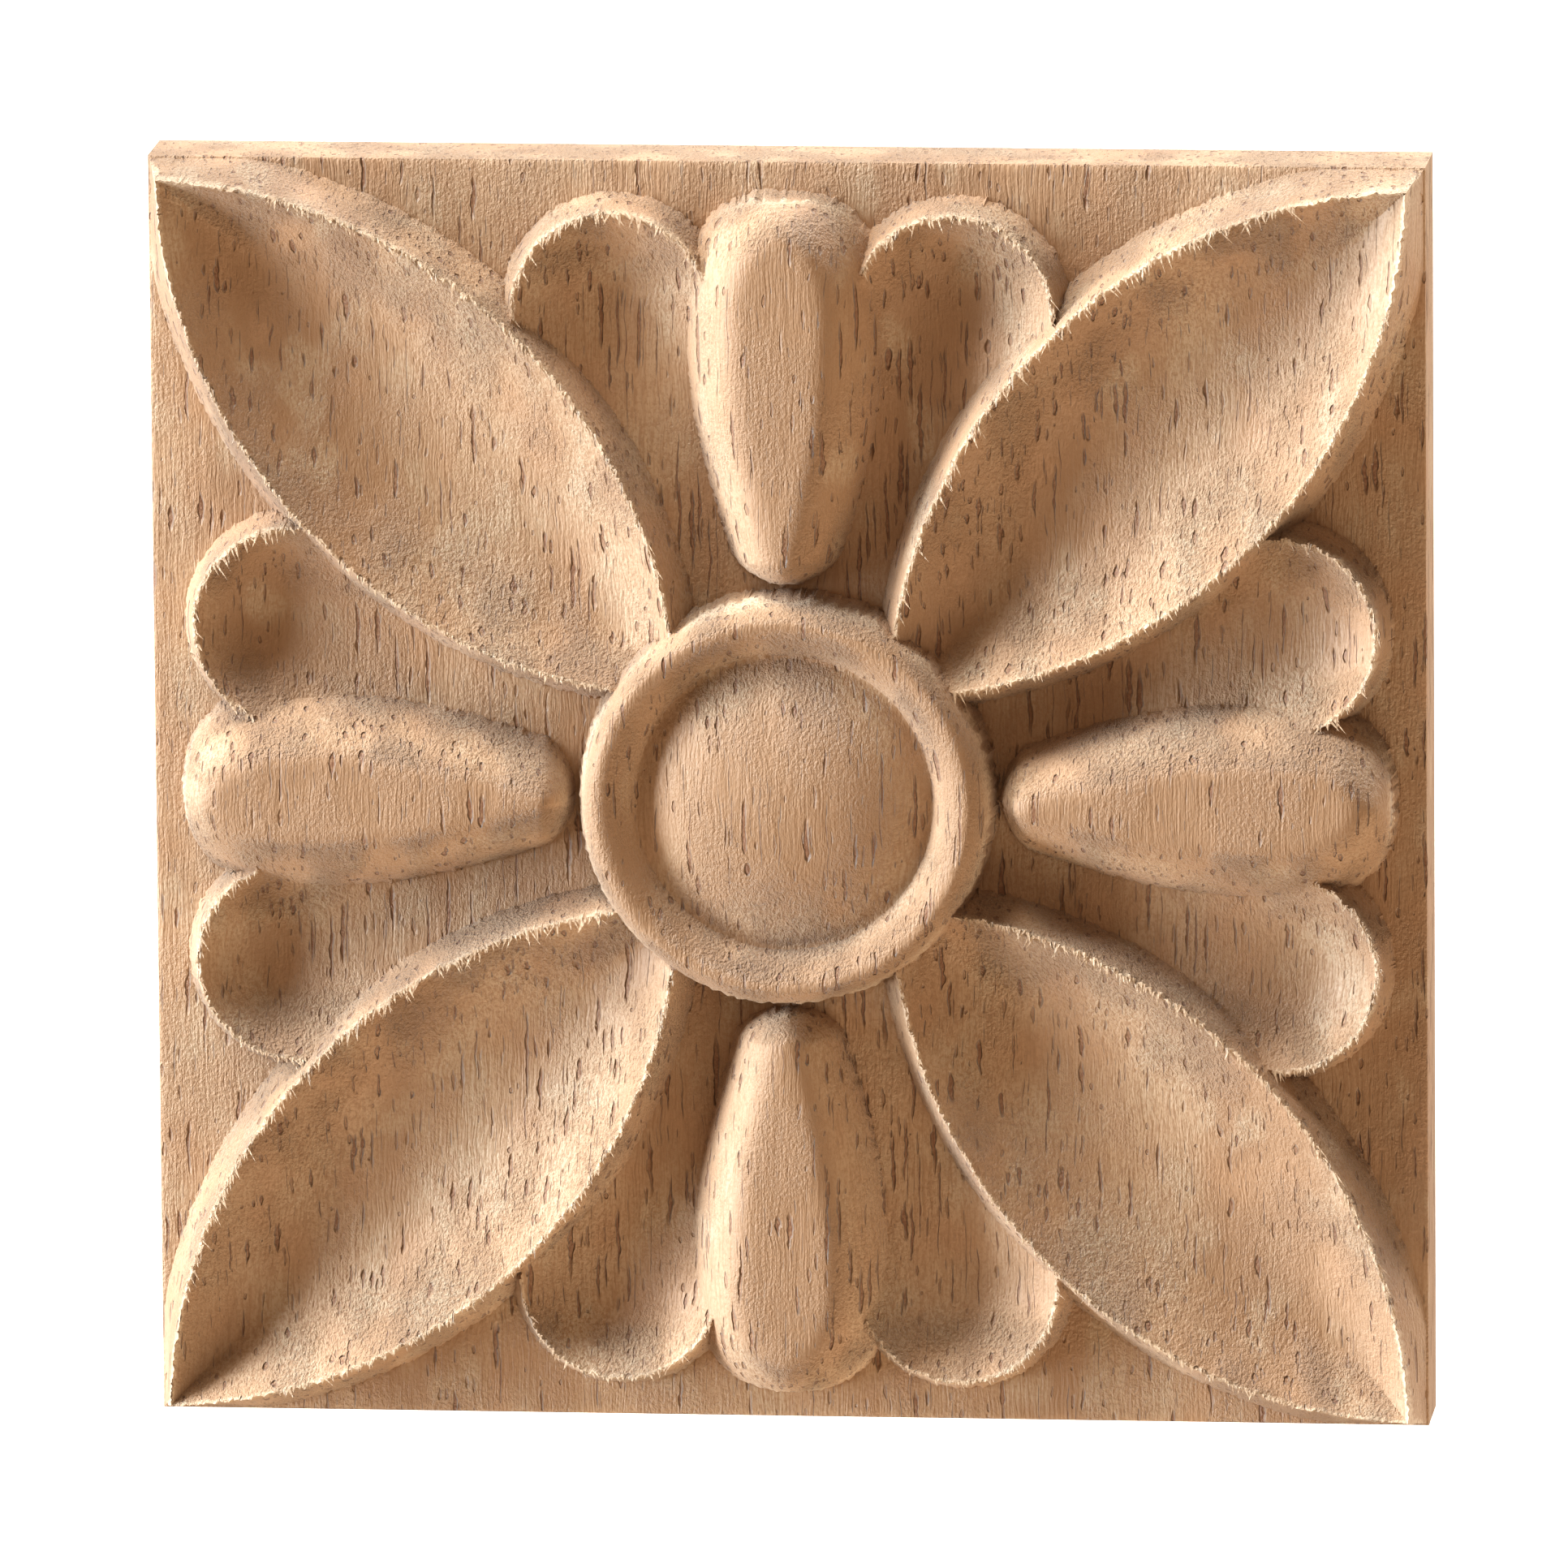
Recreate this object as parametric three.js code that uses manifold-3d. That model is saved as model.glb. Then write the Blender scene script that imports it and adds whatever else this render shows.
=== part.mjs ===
// A square corner block of pale hardwood with a rosette carved into its face, for door casings and furniture.
//
// The rosette is laid out flat: X runs to the right, Y runs up the face, Z is the height over the back.
// One turn at the end stands the block up, with its back in the plane Y = 0, its face towards -Y and +Z up.
// All lengths are in millimetres.
import * as THREE from 'three';
import { mergeVertices } from 'three/addons/utils/BufferGeometryUtils.js';
import Module from 'manifold-3d';

// The block
const BLOCK_SIDE = 80;
const BOARD_THICKNESS = 6.05;

// Four leaves, one to each corner. Heights are over the board's face, here and below.
const LEAF_CORNER_GAP = 1.37;
const LEAF_HALF_WIDTH = 9;
const LEAF_RIM_HEIGHT = 3.9;
const LEAF_SCOOP_DEPTH = 3.2;
const LEAF_SCOOP_SLOPE = 0.78;
const LEAF_TIP_POWER = 1.15;
const LEAF_WIDE_POWER = 2.2;
const LEAF_POWER_GROWTH = 1.5;
const LEAF_HEEL_ROUNDNESS = 0.6;
const LEAF_WALL_DRAFT = 1.55;
const LEAF_TIP_DRAFT = 0.78;
const LEAF_TIP_SHARE = 0.25;
const LEAF_HEEL_TUCK = 3.7;

// Four clubs, one to the middle of each side, planed flat on top
const CLUB_EDGE_GAP = 1.8;
const CLUB_HALF_WIDTH = 6.35;
const CLUB_NECK_HALF_WIDTH = 2.9;
const CLUB_NECK_ROUND = 2;
const CLUB_RING_GAP = 0.2;
const CLUB_CROWN_HEIGHT = 6;
const CLUB_NECK_HEIGHT = 4.7;
const CLUB_PLANED_HEIGHT = 4.9;
const CLUB_SECTION_POWER = 1.6;
const CLUB_BULB_LENGTH = 8.4;
const CLUB_BULB_POWER = 2.7;

// Eight lobes, a hollow channel with a round end on each side of every club
const LOBE_EDGE_GAP = 2.95;
const LOBE_HALF_WIDTH = 6.25;
const LOBE_THROAT_HALF_WIDTH = 8.6;
const LOBE_BEARING = 19.1;
const LOBE_RIM_HEIGHT = 3;
const LOBE_FLOOR_HEIGHT = 0.45;
const LOBE_WALL_DRAFT = 0.95;
const LOBE_HOLLOW_POWER = 2.4;
const LOBE_TUCK = 1;

// The ring and the domed button in the middle
const RING_FOOT_RADIUS = 13.15;
const RING_CREST_RADIUS = 11.6;
const RING_INNER_RADIUS = 9.35;
const RING_CREST_HEIGHT = 5.3;
const MOAT_WIDTH = 0.2;
const MOAT_HEIGHT = 3.4;
const BUTTON_HEIGHT = 5.45;
const BUTTON_FULLNESS = 2.2;

// How finely the curves are divided
const LEAF_STATIONS = 24;
const CLUB_STATIONS = 16;
const LOBE_STATIONS = 8;
const LOBE_END_STEPS = 16;
const LATHE_SEGMENTS = 64;
const RING_STEPS = 6;
const BUTTON_STEPS = 6;

// Every carved form goes this far down into the board, so that it joins it
const ROOT_DEPTH = 0.8;

// Points closer than the first become one, and triangles with a side under the second are left out
const WELD_DISTANCE = 1e-4;
const SHORTEST_SIDE = 1e-3;

const QUARTER = Math.PI / 2;
const CORNER_DISTANCE = BLOCK_SIDE / Math.SQRT2;
const LEAF_TIP = CORNER_DISTANCE - LEAF_CORNER_GAP;
const LEAF_HEEL = RING_FOOT_RADIUS - LEAF_HEEL_TUCK;
const LEAF_MIDDLE = (LEAF_TIP + LEAF_HEEL) / 2;
const LEAF_REACH = (LEAF_TIP - LEAF_HEEL) / 2;
const LEAF_ARC_RADIUS = (LEAF_REACH ** 2 + LEAF_HALF_WIDTH ** 2) / (2 * LEAF_HALF_WIDTH);
const LEAF_ARC_CENTRE = LEAF_ARC_RADIUS - LEAF_HALF_WIDTH;
const CLUB_OUTER_END = BLOCK_SIDE / 2 - CLUB_EDGE_GAP;
const CLUB_INNER_END = RING_FOOT_RADIUS + CLUB_RING_GAP;
const LOBE_TURN = THREE.MathUtils.degToRad(LOBE_BEARING);
const LOBE_END_CENTRE = (BLOCK_SIDE / 2 - LOBE_EDGE_GAP - LOBE_HALF_WIDTH) / Math.cos(LOBE_TURN);
const LOBE_THROAT = RING_CREST_RADIUS - LOBE_TUCK;
const BUTTON_RADIUS = RING_INNER_RADIUS - MOAT_WIDTH;

const wasm = await Module();
wasm.setup();

// Turns one closed three.js geometry into a solid.
function toSolid(geometry) {
  const bare = geometry.clone();
  bare.deleteAttribute('normal');
  bare.deleteAttribute('uv');
  const merged = mergeVertices(bare, WELD_DISTANCE);
  const mesh = new wasm.Mesh({
    numProp: 3,
    vertProperties: new Float32Array(merged.attributes.position.array),
    triVerts: new Uint32Array(merged.index.array),
  });
  return new wasm.Manifold(mesh);
}

// Turns a solid back into a geometry.
function toGeometry(solid) {
  const mesh = solid.getMesh();
  const geometry = new THREE.BufferGeometry();
  geometry.setAttribute('position', new THREE.BufferAttribute(mesh.vertProperties, 3));
  geometry.setIndex(new THREE.BufferAttribute(mesh.triVerts, 1));
  geometry.computeVertexNormals();
  return geometry;
}

// A carved form is given as ribs, each a row of points from its foot up and over to its spine.
// This joins neighbouring ribs into one sheet, and drops the triangles that close up to nothing.
function sheetOfRibs(ribs, isLoop) {
  const corners = [];
  const pairs = isLoop ? ribs.length : ribs.length - 1;
  const addTriangle = (a, b, c) => {
    const shortest = Math.min(a.distanceTo(b), b.distanceTo(c), c.distanceTo(a));
    if (shortest > SHORTEST_SIDE) {
      corners.push(a, b, c);
    }
  };
  for (let i = 0; i < pairs; i++) {
    const rib = ribs[i];
    const next = ribs[(i + 1) % ribs.length];
    for (let j = 0; j + 1 < rib.length; j++) {
      addTriangle(rib[j], next[j], next[j + 1]);
      addTriangle(rib[j], next[j + 1], rib[j + 1]);
    }
  }
  return mergeVertices(new THREE.BufferGeometry().setFromPoints(corners), WELD_DISTANCE);
}

// Closes a sheet that nowhere folds over itself into a solid that reaches down to one flat level.
function solidUnderSheet(sheet, level) {
  const top = sheet.attributes.position;
  const index = Array.from(sheet.index.array);
  const count = top.count;
  const points = [];
  for (let i = 0; i < count; i++) {
    points.push(new THREE.Vector3().fromBufferAttribute(top, i));
  }
  for (let i = 0; i < count; i++) {
    points.push(new THREE.Vector3(points[i].x, points[i].y, level));
  }
  const edges = new Set();
  const faces = [...index];
  for (let i = 0; i < index.length; i += 3) {
    const [a, b, c] = index.slice(i, i + 3);
    faces.push(a + count, c + count, b + count);
    edges.add(`${a} ${b}`).add(`${b} ${c}`).add(`${c} ${a}`);
  }
  for (const edge of edges) {
    const [a, b] = edge.split(' ').map(Number);
    if (!edges.has(`${b} ${a}`)) {
      faces.push(b, a, a + count, b, a + count, b + count);
    }
  }
  const geometry = new THREE.BufferGeometry().setFromPoints(points);
  geometry.setIndex(faces);
  return toSolid(geometry);
}

// Copies a solid around the middle: a copy at every angle given, in radians.
function copiesAround(solid, angles) {
  const copies = angles.map((angle) => {
    const geometry = toGeometry(solid);
    geometry.rotateZ(angle);
    return toSolid(geometry);
  });
  return copies.reduce((all, copy) => all.add(copy));
}

// Half the width of a leaf at one distance from the middle: two arcs that meet at the tip and at the heel.
function leafHalfWidth(distance) {
  const chord = Math.sqrt(Math.max(LEAF_ARC_RADIUS ** 2 - (distance - LEAF_MIDDLE) ** 2, 0));
  return Math.max(chord - LEAF_ARC_CENTRE, 0);
}

// Height in a leaf's scoop. The share runs from 0 on the spine to 1 on the rim.
// The cut is a crisp valley by the tip and turns into a round hollow where the leaf is wide.
function leafScoopHeight(distance, share) {
  const halfWidth = leafHalfWidth(distance);
  const wide = halfWidth / LEAF_HALF_WIDTH;
  const roundness = distance < LEAF_MIDDLE ? Math.max(wide, LEAF_HEEL_ROUNDNESS) : wide;
  const power = THREE.MathUtils.lerp(LEAF_TIP_POWER, LEAF_WIDE_POWER, roundness ** LEAF_POWER_GROWTH);
  const depth = LEAF_SCOOP_DEPTH * Math.tanh((LEAF_SCOOP_SLOPE * halfWidth) / LEAF_SCOOP_DEPTH);
  return LEAF_RIM_HEIGHT - depth * (1 - share ** power);
}

// One leaf along +X: a drafted wall up to a sharp rim, and the scoop inside it.
function makeLeaf() {
  const shares = [1, 0.86, 0.68, 0.46, 0.22, 0];
  const ribAt = (turn, side) => {
    const distance = LEAF_MIDDLE + LEAF_REACH * Math.cos(turn);
    const halfWidth = leafHalfWidth(distance);
    const atTip = THREE.MathUtils.smoothstep(distance, LEAF_TIP - LEAF_TIP_SHARE * LEAF_REACH, LEAF_TIP);
    const draft = THREE.MathUtils.lerp(LEAF_WALL_DRAFT, LEAF_TIP_DRAFT, atTip);
    const outward = new THREE.Vector2(distance - LEAF_MIDDLE, halfWidth + LEAF_ARC_CENTRE).normalize();
    const isEnd = halfWidth < 1e-6;
    const footX = distance + (isEnd ? draft / outward.x : draft * outward.x);
    const footY = isEnd ? 0 : halfWidth + draft * outward.y;
    const rib = [new THREE.Vector3(footX, side * footY, BOARD_THICKNESS)];
    for (const share of shares) {
      const height = leafScoopHeight(distance, share);
      rib.push(new THREE.Vector3(distance, side * halfWidth * share, BOARD_THICKNESS + height));
    }
    return rib;
  };
  const ribs = [];
  for (let i = 0; i < LEAF_STATIONS; i++) {
    ribs.push(ribAt((Math.PI * i) / LEAF_STATIONS, 1));
  }
  for (let i = 0; i < LEAF_STATIONS; i++) {
    ribs.push(ribAt(Math.PI - (Math.PI * i) / LEAF_STATIONS, -1));
  }
  return solidUnderSheet(sheetOfRibs(ribs, true), BOARD_THICKNESS - ROOT_DEPTH);
}

// The upright prism inside a leaf's rim, which clears away what the leaf's scoop replaces.
function makeLeafClearance() {
  const outline = new THREE.Shape();
  outline.moveTo(LEAF_TIP, 0);
  for (let i = 1; i < 2 * LEAF_STATIONS; i++) {
    const turn = (Math.PI * i) / LEAF_STATIONS;
    const distance = LEAF_MIDDLE + LEAF_REACH * Math.cos(turn);
    outline.lineTo(distance, Math.sign(Math.sin(turn)) * leafHalfWidth(distance));
  }
  outline.closePath();
  const prism = new THREE.ExtrudeGeometry(outline, { depth: 2 * LEAF_RIM_HEIGHT, bevelEnabled: false });
  prism.translate(0, 0, BOARD_THICKNESS);
  return toSolid(prism);
}

// How a club's width or height runs from its neck to its widest place, at one distance from the middle.
// The neck starts with a short round nose, and the outer end closes as a blunt bulb.
function clubProfile(distance, atNeck, atWidest) {
  const widest = CLUB_OUTER_END - CLUB_BULB_LENGTH;
  const along = THREE.MathUtils.clamp((distance - CLUB_INNER_END) / (widest - CLUB_INNER_END), 0, 1);
  const nose = THREE.MathUtils.clamp((distance - CLUB_INNER_END) / CLUB_NECK_ROUND, 0, 1);
  const bulb = THREE.MathUtils.clamp((distance - widest) / CLUB_BULB_LENGTH, 0, 1);
  const swell = THREE.MathUtils.lerp(atNeck, atWidest, Math.sin(QUARTER * along));
  return swell * Math.sqrt(1 - (1 - nose) ** 2) * (1 - bulb ** CLUB_BULB_POWER) ** (1 / CLUB_BULB_POWER);
}

// One club along +X: a convex back with nearly plane flanks, planed off flat on top.
function makeClub() {
  const turns = [90, 80, 68, 54, 40, 27, 14, 0].map((angle) => THREE.MathUtils.degToRad(angle));
  const section = turns.map((turn) => ({
    aside: Math.sin(turn) ** (2 / CLUB_SECTION_POWER),
    up: Math.max(Math.cos(turn), 0) ** (2 / CLUB_SECTION_POWER),
  }));
  const middle = (CLUB_OUTER_END + CLUB_INNER_END) / 2;
  const reach = (CLUB_OUTER_END - CLUB_INNER_END) / 2;
  const ribs = [];
  for (const side of [1, -1]) {
    for (let i = 0; i <= CLUB_STATIONS; i++) {
      const distance = middle + side * reach * Math.cos((Math.PI * i) / CLUB_STATIONS);
      const halfWidth = clubProfile(distance, CLUB_NECK_HALF_WIDTH, CLUB_HALF_WIDTH);
      const crown = clubProfile(distance, CLUB_NECK_HEIGHT, CLUB_CROWN_HEIGHT);
      ribs.push(section.map(({ aside, up }) => new THREE.Vector3(
        distance,
        side * halfWidth * aside,
        BOARD_THICKNESS + crown * up,
      )));
    }
  }
  const whole = solidUnderSheet(sheetOfRibs(ribs, true), BOARD_THICKNESS - ROOT_DEPTH);
  const planedOff = new THREE.BoxGeometry(BLOCK_SIDE, BLOCK_SIDE, 2 * CLUB_CROWN_HEIGHT);
  planedOff.translate(0, 0, BOARD_THICKNESS + CLUB_PLANED_HEIGHT + CLUB_CROWN_HEIGHT);
  return whole.subtract(toSolid(planedOff));
}

// One lobe along +X: a hollow channel from under the ring to a round end, as a ball-nosed cutter leaves it.
function makeLobe() {
  const shares = [1, 0.8, 0.55, 0.28, 0];
  const ribFor = (spineX, outlineX, outlineY) => {
    const outward = new THREE.Vector2(outlineX - spineX, outlineY).normalize();
    const rib = [new THREE.Vector3(
      outlineX + LOBE_WALL_DRAFT * outward.x,
      outlineY + LOBE_WALL_DRAFT * outward.y,
      BOARD_THICKNESS,
    )];
    for (const share of shares) {
      const height = LOBE_FLOOR_HEIGHT + (LOBE_RIM_HEIGHT - LOBE_FLOOR_HEIGHT) * share ** LOBE_HOLLOW_POWER;
      const x = THREE.MathUtils.lerp(spineX, outlineX, share);
      rib.push(new THREE.Vector3(x, outlineY * share, BOARD_THICKNESS + height));
    }
    return rib;
  };
  const sideRib = (along, side) => {
    const distance = THREE.MathUtils.lerp(LOBE_THROAT, LOBE_END_CENTRE, along);
    const halfWidth = THREE.MathUtils.lerp(LOBE_THROAT_HALF_WIDTH, LOBE_HALF_WIDTH, along);
    return ribFor(distance, distance, side * halfWidth);
  };
  const ribs = [];
  for (let i = 0; i < LOBE_STATIONS; i++) {
    ribs.push(sideRib(i / LOBE_STATIONS, -1));
  }
  for (let i = 0; i <= LOBE_END_STEPS; i++) {
    const turn = -QUARTER + (Math.PI * i) / LOBE_END_STEPS;
    const reachX = LOBE_END_CENTRE + LOBE_HALF_WIDTH * Math.cos(turn);
    ribs.push(ribFor(LOBE_END_CENTRE, reachX, LOBE_HALF_WIDTH * Math.sin(turn)));
  }
  for (let i = LOBE_STATIONS - 1; i >= 0; i--) {
    ribs.push(sideRib(i / LOBE_STATIONS, 1));
  }
  return solidUnderSheet(sheetOfRibs(ribs, false), BOARD_THICKNESS - ROOT_DEPTH);
}

// The two lobes beside the club along +X. Each keeps to its own eighth of the face.
function makeLobePair() {
  const lobe = makeLobe();
  const pair = [1, -1].map((side) => {
    const eighth = new THREE.Shape();
    eighth.moveTo(0, 0);
    eighth.lineTo(BLOCK_SIDE, 0);
    eighth.lineTo(BLOCK_SIDE, side * BLOCK_SIDE);
    eighth.closePath();
    const sector = new THREE.ExtrudeGeometry(eighth, { depth: BLOCK_SIDE, bevelEnabled: false });
    return copiesAround(lobe, [side * LOBE_TURN]).intersect(toSolid(sector));
  });
  return pair[0].add(pair[1]);
}

// The turned middle: a bead-shaped ring, a narrow moat and a domed button.
function makeRosetteCentre() {
  const points = [new THREE.Vector2(0, -ROOT_DEPTH), new THREE.Vector2(RING_FOOT_RADIUS, -ROOT_DEPTH)];
  for (let i = 0; i <= RING_STEPS; i++) {
    const turn = (QUARTER * i) / RING_STEPS;
    const radius = RING_CREST_RADIUS + (RING_FOOT_RADIUS - RING_CREST_RADIUS) * Math.cos(turn);
    points.push(new THREE.Vector2(radius, RING_CREST_HEIGHT * Math.sin(turn)));
  }
  const drop = RING_CREST_HEIGHT - MOAT_HEIGHT;
  for (let i = 1; i <= RING_STEPS; i++) {
    const share = Math.sin((QUARTER * i) / RING_STEPS);
    const radius = THREE.MathUtils.lerp(RING_CREST_RADIUS, RING_INNER_RADIUS, share);
    points.push(new THREE.Vector2(radius, RING_CREST_HEIGHT - drop * share ** 2));
  }
  const rise = BUTTON_HEIGHT - MOAT_HEIGHT;
  for (let i = 0; i <= BUTTON_STEPS; i++) {
    const share = i === BUTTON_STEPS ? 0 : Math.cos((QUARTER * i) / BUTTON_STEPS);
    points.push(new THREE.Vector2(BUTTON_RADIUS * share, MOAT_HEIGHT + rise * (1 - share ** BUTTON_FULLNESS)));
  }
  const lathe = new THREE.LatheGeometry(points, LATHE_SEGMENTS);
  lathe.rotateX(QUARTER);
  lathe.translate(0, 0, BOARD_THICKNESS);
  return toSolid(lathe);
}

// The whole carved block, cut from one piece of wood.
function makeBlock() {
  const board = new THREE.BoxGeometry(BLOCK_SIDE, BLOCK_SIDE, BOARD_THICKNESS);
  board.translate(0, 0, BOARD_THICKNESS / 2);

  const toSides = [0, 1, 2, 3].map((side) => side * QUARTER);
  const toCorners = toSides.map((angle) => angle + QUARTER / 2);

  const lobes = copiesAround(makeLobePair(), toSides);
  const leafClearance = copiesAround(makeLeafClearance(), toCorners);
  const leaves = copiesAround(makeLeaf(), toCorners);
  const clubs = copiesAround(makeClub(), toSides);

  const core = new THREE.CylinderGeometry(RING_CREST_RADIUS, RING_CREST_RADIUS, BLOCK_SIDE, LATHE_SEGMENTS);
  core.rotateX(QUARTER);
  const envelope = new THREE.BoxGeometry(BLOCK_SIDE, BLOCK_SIDE, BLOCK_SIDE);
  envelope.translate(0, 0, BLOCK_SIDE / 2);

  const petals = lobes.subtract(leafClearance).add(leaves).add(clubs);
  const relief = petals.subtract(toSolid(core)).intersect(toSolid(envelope));
  return toSolid(board).add(relief).add(makeRosetteCentre());
}

const timber = new THREE.MeshStandardMaterial({ color: 0xd9b48a, roughness: 0.8, metalness: 0 });
const block = new THREE.Mesh(toGeometry(makeBlock()), timber);
block.name = 'carved_rosette_block';
block.rotation.x = QUARTER;

const part = new THREE.Group();
part.name = 'carved_corner_block';
part.add(block);

export default part;
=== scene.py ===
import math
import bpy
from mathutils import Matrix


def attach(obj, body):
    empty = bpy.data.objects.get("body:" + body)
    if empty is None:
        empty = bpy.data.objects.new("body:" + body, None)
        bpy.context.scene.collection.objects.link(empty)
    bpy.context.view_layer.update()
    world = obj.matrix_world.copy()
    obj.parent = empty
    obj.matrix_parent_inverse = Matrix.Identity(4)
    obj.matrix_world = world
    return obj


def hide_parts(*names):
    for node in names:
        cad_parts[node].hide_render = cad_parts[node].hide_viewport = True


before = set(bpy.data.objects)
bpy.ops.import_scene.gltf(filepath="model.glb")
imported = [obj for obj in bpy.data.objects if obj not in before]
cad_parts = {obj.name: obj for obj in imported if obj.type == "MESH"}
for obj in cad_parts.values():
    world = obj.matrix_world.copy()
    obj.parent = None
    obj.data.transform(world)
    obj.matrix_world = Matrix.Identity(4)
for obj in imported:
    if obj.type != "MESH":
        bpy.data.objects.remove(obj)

# A square corner block of bare, pale, open-pored hardwood with a rosette carved into its face.
#
# One finer piece stands for the solid. Its face is a relief: a height over the board at every point.
# The relief is worked out in millimetres with the block laid flat: u runs right, v runs up the face,
# and the height h stands over the board's face. In the frame that is x = u, z = v, y = -(board + h).
from types import SimpleNamespace

import bpy
import numpy as np
from mathutils import Vector, kdtree, noise
from mathutils.geometry import delaunay_2d_cdt

MM = 0.001
MM_PER_METRE = 1000
QUARTER = math.pi / 2
TINY = 1e-6

# The block and its board
BLOCK_SIDE = 80.0
BOARD_THICKNESS = 6.05

# Four leaves, one to each corner
LEAF_CORNER_GAP = 1.37
LEAF_HALF_WIDTH = 9.0
LEAF_RIM_HEIGHT = 3.9
LEAF_SCOOP_DEPTH = 3.2
LEAF_SCOOP_SLOPE = 0.78
LEAF_TIP_POWER = 1.15
LEAF_WIDE_POWER = 2.2
LEAF_POWER_GROWTH = 1.5
LEAF_HEEL_ROUNDNESS = 0.6
LEAF_WALL_DRAFT = 1.55
LEAF_TIP_DRAFT = 0.78
LEAF_TIP_SHARE = 0.25
LEAF_HEEL_TUCK = 3.7

# Four clubs, one to the middle of each side, planed flat on top
CLUB_EDGE_GAP = 1.8
CLUB_HALF_WIDTH = 6.35
CLUB_NECK_HALF_WIDTH = 2.9
CLUB_NECK_ROUND = 2.0
CLUB_RING_GAP = 0.2
CLUB_CROWN_HEIGHT = 6.0
CLUB_NECK_HEIGHT = 4.7
CLUB_PLANED_HEIGHT = 4.9
CLUB_PLANED_SOFTNESS = 0.45
CLUB_SECTION_POWER = 1.6
CLUB_BULB_LENGTH = 8.4
CLUB_BULB_POWER = 2.7

# Eight lobes, a hollow channel with a round end on each side of every club
LOBE_EDGE_GAP = 2.95
LOBE_HALF_WIDTH = 6.25
LOBE_THROAT_HALF_WIDTH = 8.6
LOBE_BEARING = 19.1
LOBE_RIM_HEIGHT = 3.0
LOBE_FLOOR_HEIGHT = 0.45
LOBE_WALL_DRAFT = 0.95
LOBE_HOLLOW_POWER = 2.4
LOBE_TUCK = 1.0

# The ring and the domed button
RING_FOOT_RADIUS = 13.15
RING_CREST_RADIUS = 11.6
RING_INNER_RADIUS = 9.35
RING_CREST_HEIGHT = 5.3
MOAT_WIDTH = 0.2
MOAT_HEIGHT = 3.4
BUTTON_HEIGHT = 5.45
BUTTON_FULLNESS = 2.2

# How finely the relief is divided: the spacing of points on flats, on slopes, along edges, around the
# border and on the back, and how close two of them may come as a share of their spacing. What rises
# more than STEEP per millimetre counts as a slope.
FLAT_SPACING = 0.34
SLOPE_SPACING = 0.27
EDGE_SPACING = 0.13
BORDER_SPACING = 0.4
BACK_SPACING = 4.0
CLOSEST_SHARE = 0.6
BORDER_CLOSEST_SHARE = 0.3
SCATTER_SHARE = 0.1
STEEP = 0.35
SLOPE_STEP = 0.02
EDGE_HALVINGS = 14
MERGE_DISTANCE = 1e-7
FACE_SEED = 7
BACK_SEED = 3

# The softened arris around the block, as drop and bulge in shares of its size, where the rows of points
# lie down the side, and the sharpest fold in degrees that is still shaded smooth
ARRIS = 0.14
ARRIS_STEPS = ((0.3, 0.7), (1.0, 1.0))
SIDE_SHARES = (1 / 3, 2 / 3)
SMOOTH_ANGLE = 38

# How rough the cut wood is: waves of the cutter, fuzz and ragged edges, and how calm it is by the arris
WOBBLE = 0.05
SIDEWAYS_WOBBLE = 0.5
FUZZ = 0.045
FUZZ_ALONG_GRAIN = 0.35
TEETH = 0.24
COARSE_TEETH = 0.6
SIDEWAYS_TEETH = 0.6
RIDGE_REACH = 0.3
RIDGE_TURNS = 8
RAGGED_RIDGE = (0.03, 0.35)
ACROSS_GRAIN = (0.1, 0.6)
CALM_BORDER = (0.3, 1.2)
BORDER_ROUGHNESS = 0.35

# Waves per millimetre rightwards, up the grain and outwards
WOBBLE_WAVES = (0.2, 0.12, 0.2)
SIDEWAYS_WAVES = (0.25, 0.25, 0.25)
FUZZ_WAVES = (2.4, 1.6, 2.0)
UPRIGHT_TEETH_WAVES = ((2.2, 0.7, 0.3), (6.5, 1.0, 0.5))
LYING_TEETH_WAVES = ((0.8, 2.2, 0.3), (1.6, 6.0, 0.5))
SEED_SHIFT = 17.3

# Torn fibres that stand off the rims. Lean and rise are shares of the length, depth is one of the
# half-width, and a fibre that hangs out over lower wood is shorter.
FIBRE_SEED = 11
FIBRE_SHARE = 0.75
FIBRE_RIDGE = 0.1
FIBRE_LENGTH = 0.95
FIBRE_SHORTEST = 0.45
FIBRE_OVERHANG = 0.5
FIBRE_HALF_WIDTH = 0.1
FIBRE_WIDTH_RANGE = (0.6, 1.3)
FIBRE_DEPTH = 1.5
FIBRE_LEAN = 0.2
FIBRE_LEAN_SPREAD = 0.45
FIBRE_RISE_RANGE = (-0.05, 0.2)

# Colours of the timber
PALE = (0.565, 0.387, 0.238, 1)
# DEEP also serves as the painted shade in the feet and creases of the carving
DEEP = (0.40, 0.232, 0.12, 1)
WORN = (0.375, 0.225, 0.122, 1)
VESSEL = (0.20, 0.075, 0.028, 1)
RUDDY = (0.50, 0.295, 0.16, 1)
ASHEN = (0.575, 0.435, 0.29, 1)
# Paler torn fibres on the rims, which also stand in for a painted highlight along them
TORN_AND_LIT = (0.82, 0.66, 0.47, 1)

# How strongly each pattern shows in the colour
CLOUD_SHARE = 0.8
STREAK_SHARE = 0.75
SHORT_PORE_SHARE = 0.6
PORE_SHARE = 0.85
LONG_GRAIN_SPECKLE = 0.65
# How dark the painted shade in the carving's feet and creases is
FOOT_SHADE_SHARE = 0.4
# How strongly the rims take the torn-fibre colour, which is partly a painted highlight
RIM_TORN_AND_LIT_SHARE = 0.7
PLANED_FADE = 0.78

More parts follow.
